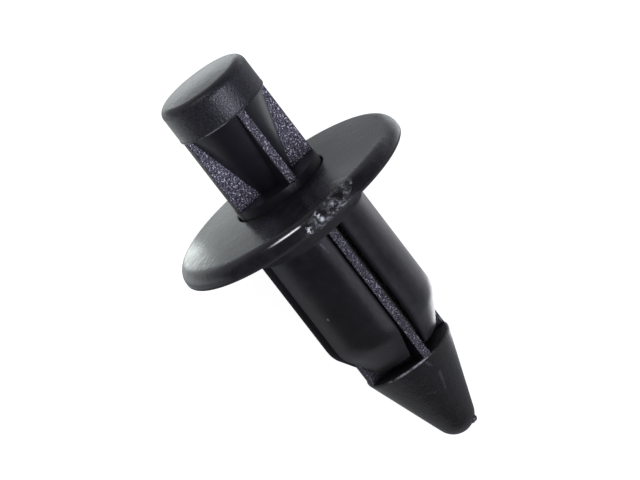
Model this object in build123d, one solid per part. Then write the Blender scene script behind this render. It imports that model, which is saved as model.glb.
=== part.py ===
from build123d import *
import math
import os

# Push rivet of two moulded pieces: a flanged sleeve with four spreading legs, and a
# ribbed pin with a round button on top and a cone on the end. Pushing the button in
# drives the pin down the sleeve, and its thick part spreads the legs in the hole.
# Lengths are in millimetres. Both pieces are built on one axis, with the underside
# of the flange at 0 and the cone on the plus side, and are laid down at the end.

# Sleeve: flange
flange_radius = 8.30
flange_rim_height = 1.22        # from the underside to the top of the rim rounding
flange_crown = 0.38             # how far the domed top would rise at its middle
flange_top_rounding = 0.90
flange_bottom_rounding = 0.20
bore_lead_in = 0.15

# Sleeve: neck and legs
neck_radius = 4.00
neck_length = 1.66              # closed ring between the underside and the slots
leg_draft = 0.03                # how far the legs stand inside the neck's round
leg_bend = 9.28                 # from the underside to the corner of the bend
leg_length = 11.60
leg_turn_in = 1.36              # how far the ends turn in towards the axis
leg_bend_rounding = 1.80
leg_end_rounding = 0.25
leg_edge_rounding = 0.12
leg_count = 4
slot_width = 1.30

# Pin: button
button_radius = 3.17
button_height = 2.52            # from the rib tops to the middle of the crown
button_crown = 0.10
button_rounding = 0.58

# Pin: ribs, core, collar and cone
exposed_rib_length = 5.54       # from the button to the collar, in the raised state
rib_radius = 3.16
rib_thickness = 0.54
rib_turn = 73.0                 # degrees of the first rib about the axis
core_top_radius = 2.90
core_neck_radius = 1.36
collar_radius = 3.14
collar_length = 1.30
flare_length = 3.00             # cone between the collar and the thin core
cone_radius = 3.16
cone_land = 0.12                # short straight wall at the cone's shoulder
cone_length = 6.36
cone_nose_radius = 1.37

# Fits and places
pin_clearance = 0.05            # between the button and the bore, on the radius
shoulder_gap = 0.50             # from the leg ends to the cone's shoulder
collar_show = 0.58              # how much of the collar stands above the flange
overcut = 1.0                   # how far a cutting box reaches past what it cuts
seam_turn = 2.0                 # degrees from the line it lies on to the turned seams


def crown_rise(edge_radius, rise, radius):
    """Height of a spherical crown above its edge, at this distance from the axis."""
    ball = (edge_radius**2 + rise**2) / (2 * rise)
    return math.sqrt(ball**2 - radius**2) - (ball - rise)


# Sizes that follow from the ones above
bore_radius = max(button_radius, rib_radius, collar_radius) + pin_clearance
leg_radius = neck_radius - leg_draft
leg_wall = leg_radius - bore_radius
leg_end_radius = leg_radius - leg_turn_in
end_rounding = min(leg_end_rounding, leg_wall / 3)
edge_rounding = min(leg_edge_rounding, end_rounding / 2)
rim_in = flange_radius - flange_top_rounding
flange_height = flange_rim_height + crown_rise(rim_in, flange_crown, bore_radius)

# Places along the axis, from the underside of the flange
collar_top = -flange_height - collar_show
collar_bottom = collar_top + collar_length
button_bottom = collar_top - exposed_rib_length
button_top = button_bottom - button_height
shoulder = leg_length + shoulder_gap
tip = shoulder + cone_length
travel = -flange_height - button_top    # until the button is flush with the flange


def at(radius, height):
    """A point of a half section, drawn in the XZ plane."""
    return Vector(radius, 0, height)


def line_chain(*points):
    """Straight edges from each point to the next."""
    return [Edge.make_line(a, b) for a, b in zip(points, points[1:])]


def arc_about(centre, radius, start, end):
    """A round edge about a point of the section, between two angles in degrees."""
    spots = [
        centre + radius * at(math.cos(math.radians(a)), math.sin(math.radians(a)))
        for a in (start, (start + end) / 2, end)
    ]
    return Edge.make_three_point_arc(*spots)


def crown_edge(edge_radius, edge_height, rise, inner_radius):
    """The arc of a spherical crown, which rises towards minus, from edge to inside."""
    spots = [
        at(r, edge_height - crown_rise(edge_radius, rise, r))
        for r in (inner_radius, (inner_radius + edge_radius) / 2, edge_radius)
    ]
    return Edge.make_three_point_arc(*spots)


def turned(*edges):
    """A solid of revolution about the axis from a closed half section.

    Its seam stands a little off the lowest line, on which the rivet comes to rest.
    """
    return Rot(0, 0, seam_turn) * revolve(make_face(Wire(list(edges))), axis=Axis.Z)


def around(shape, count):
    """Copies of a shape round the axis, the first one at the first rib."""
    return [Rot(0, 0, rib_turn + i * 360 / count) * shape for i in range(count)]


def ring_edges(solid, radius, height):
    """The round edges of a solid that lie at this radius and this height."""
    found = []
    for edge in solid.edges().filter_by(GeomType.CIRCLE):
        middle = edge.position_at(0.5)
        off_radius = abs(math.hypot(middle.X, middle.Y) - radius)
        if off_radius < 1e-4 and abs(middle.Z - height) < 1e-4:
            found.append(edge)
    return found


def corner(face, point):
    """The corner of a flat section that lies at this point."""
    return face.vertices().sort_by_distance(point)[0]


# ---------------------------------------------------------------- sleeve
# The flange has a quarter round above its rim and a small one below, and its top is
# a shallow dome, broken by the bore.
rim_top_height = -flange_rim_height + flange_top_rounding
flange = turned(
    crown_edge(rim_in, -flange_rim_height, flange_crown, bore_radius),
    arc_about(at(rim_in, rim_top_height), flange_top_rounding, -90, 0),
    *line_chain(at(flange_radius, rim_top_height), at(flange_radius, -flange_bottom_rounding)),
    arc_about(
        at(flange_radius - flange_bottom_rounding, -flange_bottom_rounding),
        flange_bottom_rounding,
        0,
        90,
    ),
    *line_chain(
        at(flange_radius - flange_bottom_rounding, 0),
        at(bore_radius, 0),
        at(bore_radius, -flange_height),
    ),
)

# The shank is one hollow turned shape. Its wall turns inward at the lower end, with
# both sides of the bend and of the end rounded.
slope = math.atan2(leg_turn_in, leg_length - leg_bend)
outer_bend = at(leg_radius, leg_bend)
outer_end = at(leg_end_radius, leg_length)
inner_end = at(leg_end_radius - leg_wall / math.cos(slope), leg_length)
inner_bend = at(bore_radius, leg_bend - leg_wall * math.tan(slope / 2))
section = make_face(Wire(line_chain(
    at(bore_radius, 0),
    at(neck_radius, 0),
    at(neck_radius, neck_length),
    at(leg_radius, neck_length),
    outer_bend,
    outer_end,
    inner_end,
    inner_bend,
    at(bore_radius, 0),
)))
section = fillet(corner(section, outer_bend), leg_bend_rounding)
section = fillet(corner(section, inner_bend), leg_bend_rounding - leg_wall)
section = fillet(corner(section, outer_end), end_rounding)
section = fillet(corner(section, inner_end), end_rounding / 2)
shank = revolve(section, axis=Axis.Z)

# The slots run from the neck out through the ends and part the wall into legs.
slot_length = leg_length - neck_length + overcut
slot_depth = neck_radius + overcut
slot = Pos(slot_depth / 2, 0, neck_length + slot_length / 2) * Box(
    slot_depth, slot_width, slot_length
)
shank = shank - around(slot, leg_count)

# The long outer edges of each leg are softened.
long_edges = []
for edge in shank.edges().filter_by(GeomType.LINE):
    middle = edge.position_at(0.5)
    on_surface = abs(math.hypot(middle.X, middle.Y) - leg_radius) < 1e-4
    if on_surface and edge.length > neck_length:
        long_edges.append(edge)
shank = fillet(long_edges, edge_rounding)

flanged_sleeve = flange + shank
flanged_sleeve = fillet(
    ring_edges(flanged_sleeve, bore_radius, -flange_height), bore_lead_in
)

# ---------------------------------------------------------------- pin
# The button: crowned top, large round at its edge, straight side.
button_in = button_radius - button_rounding
button_edge_height = button_top + button_crown
button_side_top = button_edge_height + button_rounding
button = turned(
    crown_edge(button_in, button_edge_height, button_crown, 0),
    arc_about(at(button_in, button_side_top), button_rounding, -90, 0),
    *line_chain(
        at(button_radius, button_side_top),
        at(button_radius, button_bottom),
        at(0, button_bottom),
        at(0, button_top),
    ),
)

# The core narrows from the button to the collar, flares inside the sleeve and runs
# thin between the legs to the cone.
core = turned(*line_chain(
    at(0, button_bottom),
    at(core_top_radius, button_bottom),
    at(core_neck_radius, collar_top),
    at(collar_radius, collar_top),
    at(collar_radius, collar_bottom),
    at(core_neck_radius, collar_bottom + flare_length),
    at(core_neck_radius, shoulder),
    at(0, shoulder),
    at(0, button_bottom),
))

# The cone has a short land at its shoulder and ends in a ball nose. Its flank is the
# line from the land that just touches the ball.
nose_centre = tip - cone_nose_radius
land_end = shoulder + cone_land
flank_rise = nose_centre - land_end
flank_angle = math.degrees(
    math.atan2(cone_radius, flank_rise)
    - math.asin(cone_nose_radius / math.hypot(flank_rise, cone_radius))
)
nose = arc_about(at(0, nose_centre), cone_nose_radius, flank_angle, 90)
cone = turned(
    *line_chain(
        at(0, tip),
        at(0, shoulder),
        at(cone_radius, shoulder),
        at(cone_radius, land_end),
        nose.position_at(0),
    ),
    nose,
)

# Thin ribs stand on the core from the button to the cone's shoulder, one for each
# slot. They are cut to the rib circle, so their outer edges follow the round form.
rib_length = shoulder - button_bottom
rib_middle = (shoulder + button_bottom) / 2
rib = Pos(rib_radius / 2, 0, rib_middle) * Box(rib_radius, rib_thickness, rib_length)
rib = rib & Pos(0, 0, rib_middle) * Cylinder(rib_radius, rib_length)

push_pin = button + core + cone + around(rib, leg_count)

# ---------------------------------------------------------------- laid down
# The rivet lies on the flange's rim and on the cone's nose. The slope of its axis
# follows from the line that touches both rounds from below.
span = nose_centre + flange_bottom_rounding
drop = flange_radius - flange_bottom_rounding
lean = math.degrees(
    math.atan2(drop, span)
    + math.asin((flange_bottom_rounding - cone_nose_radius) / math.hypot(span, drop))
)
laid = Rot(0, 90 + lean, 0)
box = (laid * (flanged_sleeve + push_pin)).bounding_box()
lift = Pos(-box.center().X, -box.center().Y, -box.min.Z)

os.makedirs("parts", exist_ok=True)
for name, piece in (("flanged_sleeve", flanged_sleeve), ("push_pin", push_pin)):
    export_step(lift * laid * piece, f"parts/{name}.step")

underside = (lift * laid * Pos(0, 0, 0)).position
print("overall length", round(tip - button_top, 3), "travel", round(travel, 4))
print("bore radius", round(bore_radius, 3), "axis slope", round(lean, 4))
print("centre of the flange's underside", [round(v, 4) for v in underside])
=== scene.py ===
import math

import bpy
import numpy as np
from mathutils import Matrix, Vector


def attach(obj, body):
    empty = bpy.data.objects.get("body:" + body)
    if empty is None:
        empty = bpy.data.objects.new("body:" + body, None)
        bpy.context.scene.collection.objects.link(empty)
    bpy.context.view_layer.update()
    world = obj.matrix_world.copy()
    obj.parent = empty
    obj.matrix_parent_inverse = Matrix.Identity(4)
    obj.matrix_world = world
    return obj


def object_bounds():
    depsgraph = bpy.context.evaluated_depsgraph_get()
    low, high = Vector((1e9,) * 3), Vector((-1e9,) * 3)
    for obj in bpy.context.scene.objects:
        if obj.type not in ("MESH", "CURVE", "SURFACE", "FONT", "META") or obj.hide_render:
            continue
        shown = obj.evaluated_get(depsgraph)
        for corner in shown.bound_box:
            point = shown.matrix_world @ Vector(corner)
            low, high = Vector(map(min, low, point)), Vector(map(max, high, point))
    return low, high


# Push rivet in black nylon: a flanged sleeve with four legs, and a ribbed pin with a
# button and a cone. The two moulded pieces come from the frame and get their finish
# here. The small moulding marks are added as surfaces: flash round the button, nubs
# on the ribs, the torn gate on the flange and the gate stub on the cone's nose.

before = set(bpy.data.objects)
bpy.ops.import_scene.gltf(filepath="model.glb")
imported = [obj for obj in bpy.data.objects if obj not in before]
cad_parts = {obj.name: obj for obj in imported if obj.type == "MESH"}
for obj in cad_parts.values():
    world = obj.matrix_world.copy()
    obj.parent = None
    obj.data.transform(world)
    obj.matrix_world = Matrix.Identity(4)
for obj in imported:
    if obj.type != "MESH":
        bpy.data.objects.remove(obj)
box_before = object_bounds()

MM = 0.001

# The rivet's own axis, in the frame: it runs from the button down to the nose.
LEAN = math.radians(21.5889)
UNDERSIDE = np.array([-3.4528, 0.0, 7.6582])      # centre of the flange's underside
AXIS = np.array([math.cos(LEAN), 0.0, -math.sin(LEAN)])
UPPER = np.array([math.sin(LEAN), 0.0, math.cos(LEAN)])
ASIDE = np.array([0.0, 1.0, 0.0])
RIB_TURN = math.radians(17.0)

# Sizes of the moulded pieces that the marks and finishes follow, in millimetres.
# Places along the axis count from the flange's underside towards the nose.
BUTTON_RADIUS = 3.17
BUTTON_TOP = -10.167
BUTTON_BOTTOM = -7.647
COLLAR_TOP = -2.107
RIB_HALF_THICKNESS = 0.27
RIM_RADIUS = 8.30
RIM_HEIGHT = 1.22
RIM_ROUNDING = 0.90
RIM_LOWER_ROUNDING = 0.20
NECK_END = 1.66
SLOT_HALF_WIDTH = 0.65
SHOULDER = 12.10
TIP = 18.46

# Colours, linear RGBA
SLEEVE_DARK = (0.0070, 0.0068, 0.0094, 1)
SLEEVE_LIGHT = (0.0135, 0.0132, 0.0165, 1)
# Painted light: a lighter colour on the slot's walls, lifting their shade.
SLOT_PAINTED_LIGHT = (0.034, 0.031, 0.042, 1)
# A neutral tone for the lower legs on the -Y side.
LOWER_LEG_NEUTRAL = (0.0090, 0.0089, 0.0090, 1)
SLEEVE_SCUFF = (0.42, 0.43, 0.46, 1)
# Painted highlight: a white line along the rim's upper rounding.
RIM_PAINTED_GLINT = (0.90, 0.91, 0.93, 1)
PIN_DARK = (0.0082, 0.0082, 0.0118, 1)
PIN_LIGHT = (0.0108, 0.0108, 0.0155, 1)
CONE_BLACK = (0.0072, 0.0071, 0.0070, 1)
# Painted sparkle and painted glints on the ribs' spark-eroded grain.
RIB_PAINTED_SPARKLE = (0.148, 0.140, 0.196, 1)
RIB_PAINTED_GLINT = (0.62, 0.60, 0.68, 1)
# Painted highlight along the front of the button's lower edge.
BUTTON_EDGE_PAINTED_HIGHLIGHT = (0.20, 0.20, 0.22, 1)
# Painted sparkle on the button's side.
BUTTON_PAINTED_SPARKLE = (0.16, 0.155, 0.195, 1)
PIN_SCUFF = (0.8, 0.8, 0.84, 1)
# Worn shoulder edge with a painted highlight along its front.
SHOULDER_WEAR_AND_HIGHLIGHT = (0.45, 0.46, 0.48, 1)
TORN_DARK = (0.010, 0.0105, 0.012, 1)
TORN_GREY = (0.035, 0.036, 0.040, 1)
# Stress-whitening and painted highlights on the torn crests.
TORN_WHITE_AND_HIGHLIGHT = (0.62, 0.64, 0.68, 1)
WHITE = (1, 1, 1, 1)

# Nicks and scratches: start and end as (along, up, side), half width, strength
SLEEVE_MARKS = (
    ((-1.36, 5.9, 2.6), (-1.28, 6.6, 3.7), 0.12, 0.45),       # on the flange's dome
    ((1.9, 4.0, -0.15), (2.6, 4.0, -0.05), 0.10, 0.14),       # at the top of a leg
    ((6.3, 2.95, -2.66), (6.4, 2.96, -2.62), 0.09, 0.35),     # half way down a leg
)
PIN_MARKS = (
    ((13.57, 2.5, 0.92), (14.82, 2.25, 0.58), 0.16, 0.030),
    ((14.3, 2.4, -0.5), (14.5, 2.3, -0.1), 0.14, 0.030),
    ((12.4, 3.0, 0.6), (13.0, 2.85, 0.8), 0.14, 0.030),
)
# Torn crests with stress-whitening and painted highlights: start and end as (along, up, side),
# half width, strength.
WHITENED_AND_LIT_TEARS = (
    ((-0.84, 8.02, 0.80), (-0.46, 8.20, 0.86), 0.24, 1.0),
    ((-0.66, 8.18, -0.15), (-0.48, 8.26, -0.12), 0.20, 1.0),
    ((-0.36, 8.32, -0.22), (-0.26, 8.32, -0.10), 0.16, 1.0),
    ((-0.80, 8.05, 1.95), (-0.60, 8.10, 2.00), 0.16, 0.5),
)
RUBBED_START = (-1.36, 4.4, 2.9)
RUBBED_END = (-1.30, 5.6, 4.4)


# ---------------------------------------------------------------- surfaces
def place(along, radius, turn):
    """Points at a distance along the axis, a radius from it and a turn about it.

    The turn is 0 on the upper side and grows towards +Y. Point = underside centre
    + along * axis + radius * (cos turn * upper + sin turn * aside), in millimetres.
    """
    along, radius, turn = np.broadcast_arrays(along, radius, turn)
    outward = np.cos(turn)[..., None] * UPPER + np.sin(turn)[..., None] * ASIDE
    return UNDERSIDE + along[..., None] * AXIS + radius[..., None] * outward


def ripple(first, second, seed, octaves=4):
    """Uneven height over two parameters, between about -1 and 1.

    Sum of cosine waves in random directions; each octave has twice the frequency of
    the one before it and 0.6 times its height. The sum is divided by 1.8 times the
    octaves' heights.
    """
    source = np.random.default_rng(seed)
    total = np.zeros(np.broadcast(first, second).shape)
    height = 1.0
    reach = 0.0
    for octave in range(octaves):
        for wave in range(3):
            heading = source.uniform(0, 2 * math.pi)
            start = source.uniform(0, 2 * math.pi)
            pace = 2.0**octave * source.uniform(0.8, 1.3)
            total = total + height * np.cos(
                pace * (first * math.cos(heading) + second * math.sin(heading)) + start
            )
        reach += height * 1.8
        height *= 0.6
    return total / reach


def skin(name, rings, body, finish, closed_round=False):
    """A closed piece whose surface runs through rings of points.

    rings has the shape (n, m, 3), in millimetres: m points round each of n rings,
    counter-clockwise seen from the far end. Each ring joins the next with four-sided
    faces; the last ring joins the first when closed_round is set, and otherwise each
    end closes on the middle of its ring.
    """
    count, round_count = rings.shape[:2]
    points = rings.reshape(-1, 3)
    ring = np.arange(count if closed_round else count - 1)
    step = np.arange(round_count)
    ring, step = np.meshgrid(ring, step, indexing="ij")
    next_ring = (ring + 1) % count
    next_step = (step + 1) % round_count
    faces = np.stack(
        [
            ring * round_count + step,
            ring * round_count + next_step,
            next_ring * round_count + next_step,
            next_ring * round_count + step,
        ],
        axis=-1,
    ).reshape(-1, 4).tolist()
    if not closed_round:
        poles = np.array([rings[0].mean(0), rings[-1].mean(0)])
        points = np.vstack([points, poles])
        around = np.arange(round_count)
        after = (around + 1) % round_count
        near_pole = np.full(round_count, count * round_count)
        last = (count - 1) * round_count
        faces += np.stack([after, around, near_pole], axis=-1).tolist()
        faces += np.stack([last + around, last + after, near_pole + 1], axis=-1).tolist()
    mesh = bpy.data.meshes.new(name)
    mesh.from_pydata((points * MM).tolist(), [], faces)
    mesh.polygons.foreach_set("use_smooth", np.ones(len(mesh.polygons), bool))
    mesh.materials.append(finish)
    mesh.update()
    piece = bpy.data.objects.new(name, mesh)
    bpy.context.scene.collection.objects.link(piece)
    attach(piece, body)
    return piece


# ---------------------------------------------------------------- shader maths
class Signal:
    """A value in a material's graph. Python arithmetic on it adds Math nodes."""

    def __init__(self, graph, socket):
        self.graph = graph
        self.socket = socket

    def maths(self, operation, *operands):
        settings = {"operation": operation}
        sockets = dict(enumerate(operands))
        return self.graph.node("ShaderNodeMath", settings, sockets)

    def __add__(self, other):
        return self.maths("ADD", self, other)

    def __radd__(self, other):
        return self.maths("ADD", other, self)

    def __sub__(self, other):
        return self.maths("SUBTRACT", self, other)

    def __rsub__(self, other):
        return self.maths("SUBTRACT", other, self)

    def __mul__(self, other):
        return self.maths("MULTIPLY", self, other)

    def __rmul__(self, other):
        return self.maths("MULTIPLY", other, self)

    def __pow__(self, other):
        return self.maths("POWER", self, other)

    def __abs__(self):
        return self.maths("ABSOLUTE", self)

    def least(self, other):
        return self.maths("MINIMUM", self, other)

    def most(self, other):
        return self.maths("MAXIMUM", self, other)

    def rises(self, low, high):
        """0 below low, 1 above high and an eased step between; low may be the larger."""
        settings = {"interpolation_type": "SMOOTHSTEP", "clamp": True}
        start, end = (0.0, 1.0) if low <= high else (1.0, 0.0)
        sockets = {0: self, 1: min(low, high), 2: max(low, high), 3: start, 4: end}
        return self.graph.node("ShaderNodeMapRange", settings, sockets)

    def between(self, start, full, fade, end):
        """0 up to start, 1 from full to fade and 0 again from end on."""
        return self.rises(start, full) * self.rises(end, fade)


def dot_product(first, second):
    """Sum of the products of two rows of three values or signals."""
    return first[0] * second[0] + first[1] * second[1] + first[2] * second[2]


class Graph:
    """The node graph of one material or of the world."""

    def __init__(self, owner):
        owner.use_nodes = True
        self.tree = owner.node_tree
        self.tree.nodes.clear()

    def node(self, kind, settings=None, sockets=None, output=0):
        """Adds any node: its settings first, then the values or links of its sockets."""
        made = self.tree.nodes.new(kind)
        for name, value in (settings or {}).items():
            setattr(made, name, value)
        for name, value in (sockets or {}).items():
            slot = made.inputs[name]
            if isinstance(value, Signal):
                self.tree.links.new(value.socket, slot)
            else:
                slot.default_value = value
        if not made.outputs:
            return made
        return Signal(self, made.outputs[output])

    def ray_is(self, kind):
        return self.node("ShaderNodeLightPath", output=f"Is {kind} Ray")

    def dot(self, first, second):
        settings = {"operation": "DOT_PRODUCT"}
        return self.node("ShaderNodeVectorMath", settings, {0: first, 1: second}, "Value")

    def mix_colour(self, factor, first, second):
        settings = {"data_type": "RGBA"}
        return self.node("ShaderNodeMix", settings, {0: factor, 6: first, 7: second}, 2)

    def coats(self, colour, *layers):
        """Lays colours over the first one, each by its own factor."""
        for factor, coat in layers:
            colour = self.mix_colour(factor, colour, coat)
        return colour


class RivetGraph(Graph):
    """A material graph that knows where a point lies on the rivet, in millimetres."""

    def __init__(self, owner):
        super().__init__(owner)
        self.position = self.node("ShaderNodeTexCoord", output="Object")
        shifted = self.node(
            "ShaderNodeVectorMath",
            {"operation": "SUBTRACT"},
            {0: self.position, 1: tuple(UNDERSIDE * MM)},
        )
        self.along = self.dot(shifted, tuple(AXIS / MM))
        self.up = self.dot(shifted, tuple(UPPER / MM))
        self.side = self.dot(shifted, tuple(ASIDE / MM))
        self.radius = (self.up * self.up + self.side * self.side) ** 0.5

    def noise(self, scale, detail=2.0, roughness=0.5):
        return self.node(
            "ShaderNodeTexNoise",
            {"noise_dimensions": "3D"},
            {"Vector": self.position, "Scale": scale, "Detail": detail, "Roughness": roughness},
            "Fac",
        )

    def from_rib(self, quarter):
        """Distance from the middle plane of one pair of opposite ribs and slots."""
        turn = RIB_TURN + quarter * math.pi / 2
        return abs(self.side * math.cos(turn) - self.up * math.sin(turn))

    def near_line(self, start, end, half_width):
        """1 on the straight line between two points, 0 past half_width from it.

        The points are given as along, up and side, in millimetres. The distance is
        taken to the nearest point of the line between them.
        """
        run = [stop - begin for begin, stop in zip(start, end)]
        squared_length = dot_product(run, run)
        offs = [
            here - begin for here, begin in zip((self.along, self.up, self.side), start)
        ]
        steps = [step / squared_length for step in run]
        part = dot_product(offs, steps).most(0.0).least(1.0)
        gaps = [off - part * step for off, step in zip(offs, run)]
        distance = dot_product(gaps, gaps) ** 0.5
        return distance.rises(half_width, half_width * 0.3)

    def marks(self, lines):
        """The strongest of several lines, each given with its half width and strength."""
        strongest = None
        for start, end, half_width, strength in lines:
            mark = self.near_line(start, end, half_width) * strength
            strongest = mark if strongest is None else strongest.most(mark)
        return strongest

    def finish(self, colour, roughness, height, distance):
        """Ends the graph in nylon, with its normals flat close to the rivet's axis.

        Smooth shading is left out there, because the crown of the button and the
        nose close in a fan of thin faces on the axis.
        """
        flat = self.node("ShaderNodeNewGeometry", output="True Normal")
        smooth = self.node("ShaderNodeNewGeometry", output="Normal")
        base = self.node(
            "ShaderNodeMix",
            {"data_type": "VECTOR"},
            {0: self.radius.rises(2.2, 0.6), 4: smooth, 5: flat},
            1,
        )
        normal = self.node(
            "ShaderNodeBump",
            {},
            {"Height": height, "Distance": distance, "Strength": 1.0, "Normal": base},
        )
        shader = self.node(
            "ShaderNodeBsdfPrincipled",
            {},
            {"Base Color": colour, "Roughness": roughness, "Normal": normal, "IOR": 1.53},
        )
        self.node("ShaderNodeOutputMaterial", {}, {"Surface": shader})


# ---------------------------------------------------------------- finishes
def sleeve_nylon():
    """Black nylon of the sleeve: satin, faintly mottled, with pale scuffs and nicks, painted
    light on the slot's walls and a painted highlight line along the rim.
    """
    finish = bpy.data.materials.new("sleeve_black_nylon")
    g = RivetGraph(finish)
    cloud = g.noise(420.0, 3.0)
    blotch = g.noise(1500.0, 3.0, 0.6)
    grain = g.noise(5200.0, 2.0, 0.6)
    mottle = 0.5 * cloud + 0.5 * g.noise(950.0, 3.0, 0.6)

    on_flange = g.along.rises(0.25, 0.05)
    on_top = g.along.rises(-1.0, -1.1)
    on_neck = g.along.between(0.02, 0.10, NECK_END - 0.06, NECK_END + 0.14)
    on_leg = g.along.rises(NECK_END - 0.06, NECK_END + 0.09)
    from_slot = g.from_rib(0).least(g.from_rib(1))
    in_slot = from_slot.rises(SLOT_HALF_WIDTH + 0.03, SLOT_HALF_WIDTH + 0.01) * on_leg
    leg_edge = abs(from_slot - (SLOT_HALF_WIDTH + 0.06)).rises(0.13, 0.08) * on_leg
    beside_slot = from_slot.rises(1.8, 0.7) * on_leg
    lower_edge = g.radius.rises(8.02, 8.10) * g.along.rises(-0.26, -0.20)

    # A neutral, less blue tone over the lower legs on the -Y side.
    neutral_lower_leg = g.along.rises(2.0, 6.0) * g.side.rises(2.0, 0.0)
    rubbed = g.near_line(RUBBED_START, RUBBED_END, 0.9) * on_top * mottle.rises(0.42, 0.6)
    scuffs = (g.marks(SLEEVE_MARKS) * blotch.rises(0.30, 0.60)).most(rubbed * 0.05)
    # A painted highlight: a thin white line along the front of the rim's upper rounding.
    rim_painted_glint = (
        abs(g.radius - (8.07 + 0.02 * blotch)).rises(0.050, 0.012)
        * g.along.rises(-0.55, -0.7)
        * g.side.between(-3.0, -1.5, -0.7, -0.35)
        * g.up.rises(4.0, 5.0)
    )
    colour = g.coats(
        g.mix_colour(mottle.rises(0.40, 0.62), SLEEVE_DARK, SLEEVE_LIGHT),
        # painted light lifting the shade on the slot's walls
        (in_slot, SLOT_PAINTED_LIGHT),
        (neutral_lower_leg * 0.6, LOWER_LEG_NEUTRAL),
        (scuffs, SLEEVE_SCUFF),
        # painted highlight along the rim
        (rim_painted_glint, RIM_PAINTED_GLINT),
    )
    roughness = 0.19 + 0.20 * mottle + 0.05 * blotch - 0.03 * on_flange + 0.35 * lower_edge
    roughness = roughness + (0.48 * on_neck.most(leg_edge)).most(0.24 * beside_slot)
    height = grain * (0.30 + 0.45 * on_flange) + blotch * (1.5 + 0.3 * on_flange)
    g.finish(colour, roughness, height, 0.012 * MM)
    return finish


def pin_nylon():
    """Black nylon of the pin: spark-eroded grain on ribs and button with painted sparkle and
    glints, smooth pockets, and a painted highlight on the button's lower edge.
    """
    finish = bpy.data.materials.new("pin_black_nylon")
    g = RivetGraph(finish)
    cloud = g.noise(420.0, 3.0)
    blotch = g.noise(1500.0, 3.0, 0.6)
    fine = g.noise(6500.0, 2.0, 0.6)
    coarse = g.noise(6600.0, 2.0, 0.7)
    sparkle = g.noise(9200.0, 1.0, 0.6)

    across_front = g.from_rib(0)
    across_side = g.from_rib(1)
    rib_edge = (RIB_HALF_THICKNESS + 0.03, RIB_HALF_THICKNESS + 0.005)
    on_front = across_front.rises(*rib_edge) * g.radius.rises(2.95, 3.06)
    on_rib = on_front.most(across_side.rises(*rib_edge))
    on_shaft = g.along.rises(BUTTON_BOTTOM - 0.03, BUTTON_BOTTOM + 0.02)
    on_cone = g.along.rises(SHOULDER - 0.05, SHOULDER + 0.05)
    on_collar = g.along.between(COLLAR_TOP - 0.02, COLLAR_TOP + 0.02, 0.0, 1.0)
    rib = on_rib * on_shaft * (1.0 - on_cone) * (1.0 - on_collar)
    on_button = 1.0 - on_shaft
    side_of_button = on_button * g.radius.rises(2.9, 3.12)
    button_face = g.along.rises(BUTTON_TOP + 0.22, BUTTON_TOP + 0.12)
    shoulder_face = abs(g.along - SHOULDER).rises(0.06, 0.03) * g.radius.rises(3.12, 3.04)
    eroded = (rib + side_of_button * 0.30 + on_button * 0.06).least(1.0)

    # Painted sparkle and painted glints on the grain show on a rib's outer face, and on its
    # sides above the collar.
    side_rim = g.radius.rises(3.11, 3.15) * across_front.rises(1.0, 1.5) * on_shaft
    open_face = g.radius.rises(2.95, 3.05).most(g.along.rises(COLLAR_TOP + 0.3, COLLAR_TOP))
    open_face = open_face * (1.0 - 0.9 * side_rim)
    grain_painted_sparkle = (0.12 + 0.88 * sparkle.rises(0.42, 0.64)) * open_face
    grain_painted_glint = g.noise(10500.0, 0.0).rises(0.64, 0.73) * open_face
    # The painted sparkle and glints are dimmer down the pin and on the front rib.
    painted_sparkle_fade = 1.0 - 0.25 * g.along.rises(-1.0, 1.0) - 0.30 * g.along.rises(5.0, 11.0)
    painted_sparkle_fade = painted_sparkle_fade * (1.0 - 0.42 * on_front)

    # A painted highlight: a pale line along the front of the button's lower edge.
    button_edge_painted_highlight = (
        abs(g.along - (BUTTON_BOTTOM - 0.04)).rises(0.07, 0.03)
        * g.side.between(-2.4, -1.6, -0.6, 0.2)
        * g.up.rises(0.5, 1.5)
        * blotch.rises(0.3, 0.55)
    )
    # A pale line at the front of the cone's shoulder edge: wear and a painted highlight.
    shoulder_wear_and_highlight = (
        g.along.between(SHOULDER - 0.05, SHOULDER, SHOULDER + 0.07, SHOULDER + 0.16)
        * g.side.between(-2.3, -1.4, 0.2, 0.9)
        * g.up.rises(1.0, 2.0)
        * g.radius.rises(2.98, 3.06)
        * blotch.rises(0.35, 0.6)
    )
    scuffs = g.marks(PIN_MARKS) * blotch.rises(0.35, 0.60)
    colour = g.coats(
        g.mix_colour(cloud.rises(0.35, 0.7), PIN_DARK, PIN_LIGHT),
        (on_cone * 0.85, CONE_BLACK),
        # painted sparkle and painted glints on the ribs' grain
        (rib * grain_painted_sparkle * painted_sparkle_fade, RIB_PAINTED_SPARKLE),
        (rib * grain_painted_glint * painted_sparkle_fade, RIB_PAINTED_GLINT),
        # painted highlight on the button's lower edge
        (button_edge_painted_highlight * 0.6, BUTTON_EDGE_PAINTED_HIGHLIGHT),
        # painted sparkle on the button's side
        (side_of_button * grain_painted_sparkle * 0.10, BUTTON_PAINTED_SPARKLE),
        (scuffs, PIN_SCUFF),
        # wear and a painted highlight on the shoulder's edge
        (shoulder_wear_and_highlight * 0.5, SHOULDER_WEAR_AND_HIGHLIGHT),
    )
    roughness = 0.27 + 0.08 * cloud + 0.05 * blotch + 0.05 * eroded - 0.13 * button_face
    roughness = roughness + 0.40 * shoulder_face + 0.20 * side_rim
    height = (
        coarse * eroded * 5.2
        + fine * (0.20 + 0.9 * on_cone)
        + blotch * (0.6 + 1.2 * on_cone)
    )
    g.finish(colour, roughness, height, 0.022 * MM)
    return finish


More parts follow.
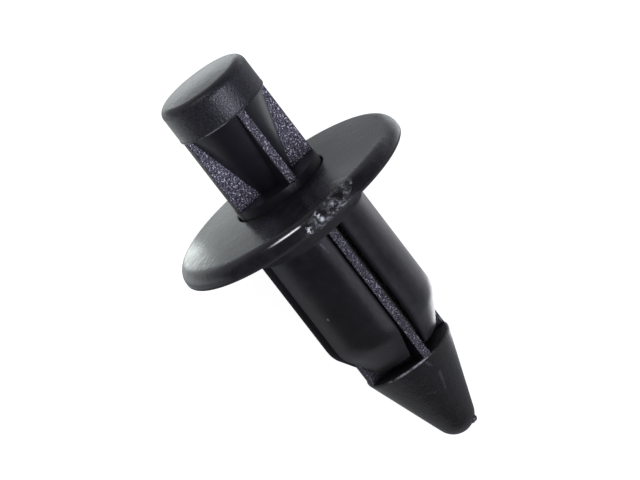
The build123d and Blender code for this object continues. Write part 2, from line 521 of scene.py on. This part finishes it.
def torn_nylon():
    """Nylon torn at a gate: dark, with stress-whitening and painted highlights on its crests."""
    finish = bpy.data.materials.new("torn_black_nylon")
    g = RivetGraph(finish)
    crests = g.noise(3400.0, 3.0, 0.6)
    grey = g.noise(1700.0, 2.0, 0.5)
    # stress-whitening and painted highlights on the crests
    whitened_and_lit = crests.rises(0.36, 0.50) * g.marks(WHITENED_AND_LIT_TEARS)
    pale = (crests.rises(0.54, 0.70) * 0.22).most(whitened_and_lit)
    colour = g.mix_colour(grey.rises(0.4, 0.6), TORN_DARK, TORN_GREY)
    colour = g.mix_colour(pale, colour, TORN_WHITE_AND_HIGHLIGHT)
    g.finish(colour, 0.36 + 0.12 * crests, crests * 3.0, 0.022 * MM)
    return finish


SLEEVE_FINISH = sleeve_nylon()
PIN_FINISH = pin_nylon()
TORN_FINISH = torn_nylon()
for node, finish in (("flanged_sleeve", SLEEVE_FINISH), ("push_pin", PIN_FINISH)):
    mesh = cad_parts[node].data
    mesh.materials.clear()
    mesh.materials.append(finish)


# ---------------------------------------------------------------- moulding marks
def button_flash():
    """Thin uneven flash round the button's lower edge.

    A closed ring: its small section is an oval about the edge, whose reach outward
    follows the ripple of the turn.
    """
    half_height = 0.07
    turn = np.linspace(0, 2 * math.pi, 240, endpoint=False)[:, None]
    section = np.linspace(0, 2 * math.pi, 12, endpoint=False)[None, :]
    uneven = ripple(3 * np.cos(turn), 3 * np.sin(turn), 5)
    reach = 0.034 + 0.010 * uneven
    radius = BUTTON_RADIUS - 0.005 + reach * np.cos(section)
    along = BUTTON_BOTTOM - half_height + half_height * np.sin(section)
    return skin("button_flash", place(along, radius, turn), "pin", PIN_FINISH, closed_round=True)


def lump(name, along, turn, radius, size, seed, finish):
    """A rough lump on the pin: a ball stretched along axis, turn and radius.

    Point = centre + size * unit ball * (1 + 0.28 * ripple).
    """
    rise = np.linspace(-0.98, 0.98, 17)[:, None] * math.pi / 2
    about = np.linspace(0, 2 * math.pi, 24, endpoint=False)[None, :]
    first = 2.2 * np.cos(rise) * np.cos(about)
    second = 2.2 * np.sin(rise) + np.sin(about)
    swell = 1 + 0.28 * ripple(first, second, seed)
    out = radius + size[2] * np.sin(rise) * swell
    sideways = size[1] * np.cos(rise) * np.cos(about) * swell
    forward = along + size[0] * np.cos(rise) * np.sin(about) * swell
    points = place(forward, out, turn)
    across = -math.sin(turn) * UPPER + math.cos(turn) * ASIDE
    points = points + sideways[..., None] * across
    return skin(name, points[:, ::-1], "pin", finish)


def rim_section(part):
    """The flange's outer section: radius, place along the axis and outward angle.

    part runs from 0 at the foot of the lower rounding, over the straight rim and the
    upper quarter round, to 1 on the dome.
    """
    dome_length = 0.8
    dome_slope = 0.09
    straight = RIM_HEIGHT - RIM_ROUNDING - RIM_LOWER_ROUNDING
    lengths = np.array([
        RIM_LOWER_ROUNDING * math.pi / 2, straight, RIM_ROUNDING * math.pi / 2, dome_length
    ])
    starts = np.concatenate([[0.0], np.cumsum(lengths)])
    run = part * starts[-1]
    lower, level, upper, dome = (
        np.clip((run - start) / length, 0, 1) for start, length in zip(starts, lengths)
    )
    low_angle = lower * math.pi / 2
    up_angle = upper * math.pi / 2
    radius = (
        RIM_RADIUS - RIM_LOWER_ROUNDING + RIM_LOWER_ROUNDING * np.sin(low_angle)
        - RIM_ROUNDING * (1 - np.cos(up_angle)) - dome_length * dome
    )
    along = (
        -RIM_LOWER_ROUNDING * (1 - np.cos(low_angle)) - straight * level
        - RIM_ROUNDING * np.sin(up_angle) - dome_slope * dome_length * dome
    )
    tilt = up_angle - (math.pi / 2 - low_angle)
    return radius, along, tilt


def gate_scar():
    """The torn gate on the flange's rim: a low crust of ridges where it was broken off.

    The outer side follows the rim's section and stands off it by an uneven height
    inside a soft-edged patch; the inner side runs just below the rim's surface.
    """
    crust = 0.17
    depth = 0.06
    turn = np.linspace(math.radians(-4.5), math.radians(29.5), 110)[:, None]
    part = np.linspace(0.02, 0.72, 60)[None, :]
    middle = 0.22 + 0.011 * (np.degrees(turn) - 2)
    centre = (np.degrees(turn) - 12.5) / 15.5
    patch = np.clip(1.15 - centre**2 - ((part - middle) / 0.24) ** 2, 0, 1)
    rough = ripple(turn * 34, part * 11, 11, 4)
    ridge = 1 - np.abs(ripple(turn * 26 + part * 5, part * 9, 23, 3)) * 2.6
    height = crust * patch**0.6 * (0.42 + 0.5 * rough + 0.35 * ridge) - 0.012
    height = np.where(patch > 0, height, -0.03)
    radius, along, tilt = rim_section(part)
    outer = place(along - height * np.sin(tilt), radius + height * np.cos(tilt), turn)
    inner = place(along + depth * np.sin(tilt), radius - depth * np.cos(tilt), turn)
    below_box_top = box_before[1][2] / MM - 0.004
    outer[..., 2] = np.minimum(outer[..., 2], below_box_top)
    rings = np.concatenate([outer, inner[:, ::-1]], axis=1)
    return skin("gate_scar", rings, "sleeve", TORN_FINISH)


button_flash()
gate_scar()
for name, turn, seed in (
    ("front_rib_nub", RIB_TURN, 3),
    ("side_rib_nub", RIB_TURN - math.pi / 2, 4),
    ("far_rib_nub", RIB_TURN + math.pi / 2, 6),
):
    lump(name, -2.2, turn, 3.12, (0.20, 0.20, 0.075), seed, PIN_FINISH)
lump("nose_gate_stub", TIP - 0.46, math.radians(64), 0.80, (0.31, 0.30, 0.34), 9, TORN_FINISH)


# ---------------------------------------------------------------- camera
SLOPE = math.radians(15.2)          # the view's slope off square to the axis
IMAGE_TURN = math.radians(52.45)    # the axis's turn in the picture
PIXELS_PER_MM = 15.99
PICTURE_WIDTH = 640
PICTURE_HEIGHT = 480
UNDERSIDE_PIXEL = (294.45, 206.6)   # where the underside's centre stands in the picture
SENSOR_WIDTH = 36.0
DISTANCE = 300.0
back = np.array([math.sin(LEAN - SLOPE), 0.0, math.cos(LEAN - SLOPE)])
fore = np.array([math.cos(LEAN - SLOPE), 0.0, -math.sin(LEAN - SLOPE)])
right = math.cos(IMAGE_TURN) * fore + math.sin(IMAGE_TURN) * ASIDE
down = math.sin(IMAGE_TURN) * fore - math.cos(IMAGE_TURN) * ASIDE
shift_right = (PICTURE_WIDTH / 2 - UNDERSIDE_PIXEL[0]) / PIXELS_PER_MM
shift_down = (PICTURE_HEIGHT / 2 - UNDERSIDE_PIXEL[1]) / PIXELS_PER_MM
target = UNDERSIDE + right * shift_right + down * shift_down
camera_data = bpy.data.cameras.new("camera")
camera_data.sensor_width = SENSOR_WIDTH
camera_data.lens = SENSOR_WIDTH * DISTANCE * PIXELS_PER_MM / PICTURE_WIDTH
camera_data.clip_start = 0.01
camera_data.clip_end = 20.0
camera = bpy.data.objects.new("camera", camera_data)
bpy.context.scene.collection.objects.link(camera)
turned = Matrix([right, -down, back]).transposed().to_4x4()
camera.matrix_world = Matrix.Translation(Vector((target + back * DISTANCE) * MM)) @ turned
bpy.context.scene.camera = camera


# ---------------------------------------------------------------- studio
# Patches of the table that gloss sees brighter: brightness, then the places of the
# fades along X and along Y, in millimetres. Two places are one fade, four are a band.
GLOSS_PATCHES = (
    (1.00, (-22.9, -21.9, -19.0, -16.5), None),                     # by the button
    (0.72, (-16.0, -13.5, -8.0, -5.0), (0.5, -2.5)),                # by the flange's face
    (3.80, (-11.5, -10.0, -9.2, -8.0), (-10.5, -8.5, -7.3, -6.3)),  # by the rim
    (0.60, (-11.0, -9.0, -1.0, 2.0), (9.0, 10.5, 14.0, 18.0)),      # beside the flange
    (2.40, (3.8, 5.6, 8.0, 9.8), (2.6, 3.6, 6.0, 9.0)),             # by a leg's bend
)
TABLE_GLOSS = 0.09


def fades(value, places):
    """One fade for two places, and a band with a fade at each side for four."""
    return value.rises(*places) if len(places) == 2 else value.between(*places)


def studio_floor():
    """White table: plain diffuse, lifted to white for the camera and for transmission, and dim
    with bright patches for gloss.
    """
    finish = bpy.data.materials.new("white_table")
    g = Graph(finish)
    camera_ray = g.ray_is("Camera")
    glossy_ray = g.ray_is("Glossy")
    through_ray = g.ray_is("Transmission")
    where = g.node("ShaderNodeTexCoord", output="Object")
    run = g.dot(where, (1 / MM, 0.0, 0.0))
    across = g.dot(where, (0.0, 1 / MM, 0.0))
    by_legs = run.rises(12.5, 7.0) * (0.15 + 0.85 * run.rises(-10.0, -2.0))
    by_legs = by_legs * (0.18 + 0.82 * across.rises(-3.5, 3.0)) * across.rises(28.0, 16.0)
    gloss_glow = TABLE_GLOSS + 0.56 * by_legs
    for brightness, along_x, along_y in GLOSS_PATCHES:
        patch = fades(run, along_x)
        if along_y:
            patch = patch * fades(across, along_y)
        gloss_glow = gloss_glow + brightness * patch
    seen = 0.90 * camera_ray.most(through_ray) + glossy_ray * gloss_glow
    plain = g.node("ShaderNodeBsdfDiffuse", {}, {"Color": (0.30, 0.30, 0.30, 1)})
    cast = g.mix_colour(by_legs, (0.92, 1.0, 0.98, 1), (0.95, 0.96, 1.0, 1))
    tint = g.mix_colour(glossy_ray, WHITE, cast)
    glow = g.node("ShaderNodeEmission", {}, {"Color": tint, "Strength": seen})
    both = g.node("ShaderNodeAddShader", {}, {0: plain, 1: glow})
    g.node("ShaderNodeOutputMaterial", {}, {"Surface": both})
    mesh = bpy.data.meshes.new("table")
    half = 1.5
    corners = [(-half, -half, 0), (half, -half, 0), (half, half, 0), (-half, half, 0)]
    mesh.from_pydata(corners, [], [(0, 1, 2, 3)])
    mesh.materials.append(finish)
    table = bpy.data.objects.new("table", mesh)
    bpy.context.scene.collection.objects.link(table)


def studio_world():
    """Soft even light; the camera sees white, and gloss sees a dim ceiling."""
    world = bpy.data.worlds.new("studio")
    bpy.context.scene.world = world
    g = Graph(world)
    camera_ray = g.ray_is("Camera")
    glossy_ray = g.ray_is("Glossy")
    heading = g.node("ShaderNodeTexCoord", output="Generated")
    rise = g.dot(heading, (0.0, 0.0, 1.0))
    left_hand = g.dot(heading, (-1.0, 0.0, 0.0)).rises(0.2, 0.7)
    ceiling = 0.06 + 0.70 * rise.rises(0.20, -0.02) * left_hand
    around = glossy_ray * ceiling + (1.0 - glossy_ray) * 0.70
    lit = camera_ray + (1.0 - camera_ray) * around
    tint = g.mix_colour(camera_ray, (0.93, 0.92, 1.0, 1), WHITE)
    glow = g.node("ShaderNodeBackground", {}, {"Color": tint, "Strength": lit})
    g.node("ShaderNodeOutputWorld", {}, {"Surface": glow})


def soft_lamp(name, heading, width, power, colour):
    """A square flat lamp that looks at the middle of the rivet."""
    middle = Vector((0, 0, 0.008))
    distance = 0.45
    data = bpy.data.lights.new(name, "AREA")
    data.shape = "SQUARE"
    data.size = width
    data.energy = power
    data.color = colour
    lamp = bpy.data.objects.new(name, data)
    bpy.context.scene.collection.objects.link(lamp)
    towards = Vector(heading).normalized()
    lamp.location = middle + towards * distance
    lamp.rotation_mode = "QUATERNION"
    lamp.rotation_quaternion = towards.to_track_quat("Z", "Y")


studio_floor()
studio_world()
soft_lamp("right_softbox", (0.55, 0.38, 0.74), 0.16, 0.93, (0.91, 0.91, 1.08))
soft_lamp("left_lamp", (-0.733, -0.249, 0.632), 0.05, 0.20, (1.0, 1.0, 1.0))

bpy.context.scene.view_settings.view_transform = "Standard"
